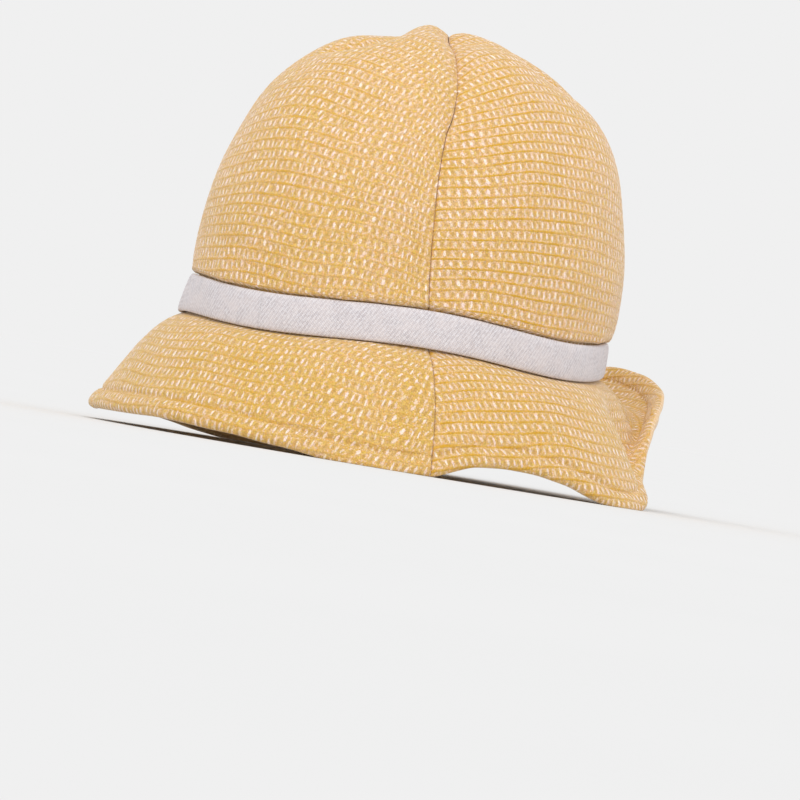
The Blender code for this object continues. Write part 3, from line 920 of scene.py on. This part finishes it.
def sewing_thread(name, colours):
    """Twisted thread: a diagonal lay along each stitch, with painted shade in its grooves, on its UV
    map.
    """
    recipe = Recipe(name)
    along, around = recipe.weave()
    twist = recipe.ramp(recipe.math("SINE", along * 9.0 + around), -1.0, 1.0)
    # painted shade: the grooves of the twist are darker, as shade falls in them
    colour = recipe.blend(twist, colours["thread_dark"], colours["thread"])
    return recipe.finish(colour, 0.7, twist, 0.4, 0.0001)


def floor_paint(name, colours):
    """A plain pale studio floor, with a faint mottle."""
    recipe = Recipe(name)
    mottle = recipe.noise(recipe.place(), 3.0)
    colour = recipe.blend(mottle, colours["floor"], colours["floor_light"])
    return recipe.finish(colour, 0.9, Specular_IOR_Level=0.0)


def colour_property(description, red, green, blue):
    """A colour that a user can change, given as it shows in a picture."""
    return FloatVectorProperty(
        description=description,
        default=srgb(red, green, blue),
        subtype="COLOR",
        size=4,
        min=0.0,
        max=1.0,
    )


def length_property(description, default):
    """A length in metres that a user can change."""
    return FloatProperty(description=description, default=default, unit="LENGTH", precision=5)


class SaunaHatSizes(bpy.types.PropertyGroup):
    """Sizes of the weave and of the soft unevenness."""

    row_pitch: length_property("From one rib of the weave to the next", 0.0051)
    column_pitch: length_property("From one float of the weave to the next", 0.0034)
    rib_height: length_property("How far a rib stands up", 0.00022)
    float_height: length_property("How far a float stands up", 0.00022)
    crease_height: length_property("Height of the worn cloth's soft creases", 0.0005)
    gather_height: length_property("Height of the gathers at band and hem", 0.0004)
    fold_height: length_property("Height of the folds in the band", 0.0003)
    pull_height: length_property("Height of the band's diagonal pulls", 0.00012)
    pull_pitch: length_property("From one diagonal pull to the next", 0.0018)
    thread_pitch: length_property("Two threads of the linen", 0.0011)
    stitch_pitch: length_property("From one hem stitch to the next", 0.0034)
    stitch_length: length_property("Length of one hem stitch", 0.0027)
    thread_thickness: length_property("Thickness of the sewing thread", 0.00055)
    gore_columns: IntProperty(description="Grid columns of a gore", default=240)
    gore_rows: IntProperty(description="Grid rows of a gore", default=270)
    panel_columns: IntProperty(description="Grid columns of a panel", default=280)
    panel_rows: IntProperty(description="Grid rows of a panel", default=70)


class SaunaHatColours(bpy.types.PropertyGroup):
    """Colours of the cloth, the thread and the floor."""

    ground: colour_property("The gold weave between its floats", 225, 187, 108)
    ground_warm: colour_property("Pinker patches of the weave", 236, 200, 168)
    lemon: colour_property("Yellower fibres in the weave", 226, 192, 88)
    orange: colour_property("Redder fibres in the weave", 228, 168, 92)
    pink: colour_property("Paler fibres in the weave", 246, 214, 194)
    ground_deep: colour_property("Fibres in the shade", 214, 170, 100)
    # painted shade: the gold ground darkened where shade falls in the hollows of the weave
    hollow: colour_property("The hollow between two floats", 200, 158, 86)
    rib: colour_property("The gold thread between two rows", 215, 164, 56)
    float: colour_property("The pale thread that lies on top", 254, 240, 218)
    float_pink: colour_property("The pinker of the pale threads", 254, 224, 214)
    reverse: colour_property("The cloth's other side", 246, 212, 172)
    linen: colour_property("Linen of the band", 230, 226, 229)
    # darker linen: the slubs' own tone, and painted shade in the gaps between the threads
    linen_dark: colour_property("Between the linen's threads", 194, 186, 189)
    linen_warm: colour_property("Warmer patches of the band", 226, 217, 217)
    thread: colour_property("Sewing thread of the hem", 238, 210, 160)
    # painted shade in the grooves between the twisted thread's strands
    thread_dark: colour_property("Sewing thread in the lay", 205, 165, 100)
    floor: colour_property("Studio floor", 225, 225, 225)
    floor_light: colour_property("Paler parts of the studio floor", 227, 227, 227)


class SaunaHatStudio(bpy.types.PropertyGroup):
    """Light of the studio."""

    sky: FloatProperty(description="Light from all round", default=0.871, min=0.0)
    key: FloatProperty(description="Light from over the camera", default=1.14, min=0.0)


def colour_table():
    """The user's colours by name, as plain tuples."""
    colours = bpy.context.scene.sauna_hat_colours
    return {name: tuple(getattr(colours, name)) for name in SaunaHatColours.__annotations__}


def grid_count(full):
    return full


class SAUNAHAT_OT_crown(bpy.types.Operator):
    """Make the four gores of the crown in waffle cloth"""

    bl_idname = "sauna_hat.crown"
    bl_label = "Crown gores"

    def execute(self, context):
        sizes = context.scene.sauna_hat_sizes
        colours = colour_table()
        columns = piece_columns(grid_count(sizes.gore_columns))
        lining_rows = grid_count(sizes.gore_rows) // LINING_RATIO
        rows = np.linspace(0, 1, LINING_RATIO * lining_rows + 1)
        for side in SIDES:
            outer, lining, pattern = gore_surface(side, columns, rows, sizes)
            materials = (
                waffle_cloth(f"waffle_crown_{side}", side, colours),
                waffle_cloth(f"waffle_lining_{side}", side, colours, reverse=True),
            )
            lining, patterns = lining[::LINING_RATIO], (pattern, pattern[::LINING_RATIO])
            name = f"gore_cloth_{side}"
            gore = make_shell(name, outer, lining, patterns, materials, has_pole=True)
            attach(gore, "root")
            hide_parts(f"crown_gore_{side}")
        return {"FINISHED"}


class SAUNAHAT_OT_brim(bpy.types.Operator):
    """Make the four panels of the brim in waffle cloth, and the stitches of their hem"""

    bl_idname = "sauna_hat.brim"
    bl_label = "Brim panels"

    def execute(self, context):
        sizes = context.scene.sauna_hat_sizes
        colours = colour_table()
        columns = piece_columns(grid_count(sizes.panel_columns))
        row_count = max(LEAST_PANEL_ROWS, grid_count(sizes.panel_rows))
        stitches, stitch_uv = [], []
        for side in SIDES:
            outer, below, pattern, facing = brim_surface(side, columns, row_count, sizes)
            materials = (
                waffle_cloth(f"waffle_brim_{side}", side, colours, BRIM_GOLD),
                waffle_cloth(f"waffle_under_{side}", side, colours, BRIM_GOLD, reverse=True),
            )
            name, patterns = f"brim_cloth_{side}", (pattern, pattern)
            panel = make_shell(name, outer, below, patterns, materials, has_pole=False)
            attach(panel, "root")
            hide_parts(f"brim_panel_{side}")
            from_edge = np.linalg.norm(np.diff(outer[:, 0], axis=0), axis=1).cumsum()
            sewn_row = 1 + int(np.argmin(np.abs(from_edge - HEM_WIDTH)))
            points, uv = stitch_row(outer[sewn_row], facing[sewn_row], sizes)
            stitches.append(points)
            stitch_uv.append(uv)
        stitches, stitch_uv = np.concatenate(stitches), np.concatenate(stitch_uv)
        faces, materials = stitch_faces(len(stitches)), [sewing_thread("hem_thread", colours)]
        thread = add_piece("hem_stitches", stitches, faces, stitch_uv, materials)
        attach(thread, "root")
        return {"FINISHED"}


class SAUNAHAT_OT_band(bpy.types.Operator):
    """Make the linen band round the neck"""

    bl_idname = "sauna_hat.band"
    bl_label = "Linen band"

    def execute(self, context):
        sizes = context.scene.sauna_hat_sizes
        points, uv = band_surface(BAND_COLUMNS, BAND_ROWS, sizes)
        columns, rows = points.shape[:2]
        index = np.arange(columns * rows).reshape(columns, rows)
        wrapped = np.vstack([index, index[:1]])
        wrapped = np.hstack([wrapped, wrapped[:, :1]])
        faces = grid_quads(wrapped)[..., ::-1].reshape(-1, 4).tolist()
        materials = [linen("band_linen", colour_table(), sizes)]
        band = add_piece("linen_band", points, faces, uv, materials)
        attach(band, "root")
        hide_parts("hat_band")
        return {"FINISHED"}


class SAUNAHAT_OT_stage(bpy.types.Operator):
    """Make the studio: a wide pale floor, an even sky, a soft key light and the camera"""

    bl_idname = "sauna_hat.stage"
    bl_label = "Studio"

    def execute(self, context):
        scene = context.scene
        studio = scene.sauna_hat_studio
        steps = np.linspace(-FLOOR_REACH, FLOOR_REACH, FLOOR_LINES)
        across, along = np.meshgrid(steps, steps)
        points = np.stack([across, along, np.zeros_like(across)], axis=-1)
        index = np.arange(points[..., 0].size).reshape(across.shape)
        mesh = bpy.data.meshes.new("studio_floor")
        mesh.from_pydata(points.reshape(-1, 3), [], grid_quads(index).reshape(-1, 4).tolist())
        mesh.materials.append(floor_paint("studio_floor", colour_table()))
        floor = bpy.data.objects.new("studio_floor", mesh)
        scene.collection.objects.link(floor)
        world = bpy.data.worlds.new("studio_sky")
        world.use_nodes = True
        background = world.node_tree.nodes["Background"]
        background.inputs["Color"].default_value = (1.0, 1.0, 1.0, 1.0)
        background.inputs["Strength"].default_value = studio.sky
        scene.world = world
        key = bpy.data.lights.new("key_light", "SUN")
        key.energy = studio.key
        key.angle = math.radians(KEY_WIDTH)
        lamp = bpy.data.objects.new("key_light", key)
        azimuth = math.radians(CAMERA_AZIMUTH - KEY_ASIDE)
        aim = Vector((math.sin(azimuth), -math.cos(azimuth), KEY_RISE))
        lamp.rotation_mode = "QUATERNION"
        lamp.rotation_quaternion = aim.to_track_quat("Z", "Y")
        scene.collection.objects.link(lamp)
        scene.view_settings.view_transform = "Standard"
        add_camera(scene)
        return {"FINISHED"}


def add_camera(scene):
    """A long lens, level with the brim and rolled as the photographer held it."""
    turn, roll = math.radians(CAMERA_AZIMUTH), math.radians(CAMERA_ROLL)
    right = Vector((math.cos(turn), math.sin(turn), 0))
    away = Vector((math.sin(turn), -math.cos(turn), 0))
    up = Vector((0, 0, 1))
    side = right * math.cos(roll) + up * math.sin(roll)
    top = up * math.cos(roll) - right * math.sin(roll)
    camera = bpy.data.cameras.new("camera")
    camera.sensor_width = SENSOR_WIDTH
    camera.lens = CAMERA_LENS
    placed = bpy.data.objects.new("camera", camera)
    target = Vector(hat_axis()) + up * CAMERA_HEIGHT + right * CAMERA_SIDEWAYS
    pose = Matrix((side, top, away)).transposed().to_4x4()
    pose.translation = target + away * CAMERA_DISTANCE
    placed.matrix_world = pose
    scene.collection.objects.link(placed)
    scene.camera = placed


class SAUNAHAT_PT_panel(bpy.types.Panel):
    """Lists the steps that dress the hat"""

    bl_idname = "SAUNAHAT_PT_panel"
    bl_label = "Sauna hat"
    bl_space_type = "VIEW_3D"
    bl_region_type = "UI"
    bl_category = "Sauna hat"

    def draw(self, context):
        for operator in OPERATORS:
            self.layout.operator(operator.bl_idname)
        for group, owner in (
            (SaunaHatSizes, context.scene.sauna_hat_sizes),
            (SaunaHatColours, context.scene.sauna_hat_colours),
            (SaunaHatStudio, context.scene.sauna_hat_studio),
        ):
            for name in group.__annotations__:
                self.layout.prop(owner, name, text=name.replace("_", " ").capitalize())


GROUPS = (SaunaHatSizes, SaunaHatColours, SaunaHatStudio)
OPERATORS = (SAUNAHAT_OT_crown, SAUNAHAT_OT_brim, SAUNAHAT_OT_band, SAUNAHAT_OT_stage)
CLASSES = (*GROUPS, *OPERATORS, SAUNAHAT_PT_panel)


def register():
    """Makes the classes and the scene's settings known to Blender."""
    for owned in CLASSES:
        bpy.utils.register_class(owned)
    bpy.types.Scene.sauna_hat_sizes = PointerProperty(type=SaunaHatSizes)
    bpy.types.Scene.sauna_hat_colours = PointerProperty(type=SaunaHatColours)
    bpy.types.Scene.sauna_hat_studio = PointerProperty(type=SaunaHatStudio)


def unregister():
    """Takes the classes and the settings out again."""
    del bpy.types.Scene.sauna_hat_studio
    del bpy.types.Scene.sauna_hat_colours
    del bpy.types.Scene.sauna_hat_sizes
    for owned in reversed(CLASSES):
        bpy.utils.unregister_class(owned)


def main():
    register()
    bpy.ops.sauna_hat.crown()
    bpy.ops.sauna_hat.brim()
    bpy.ops.sauna_hat.band()
    bpy.ops.sauna_hat.stage()


if __name__ == "__main__":
    main()
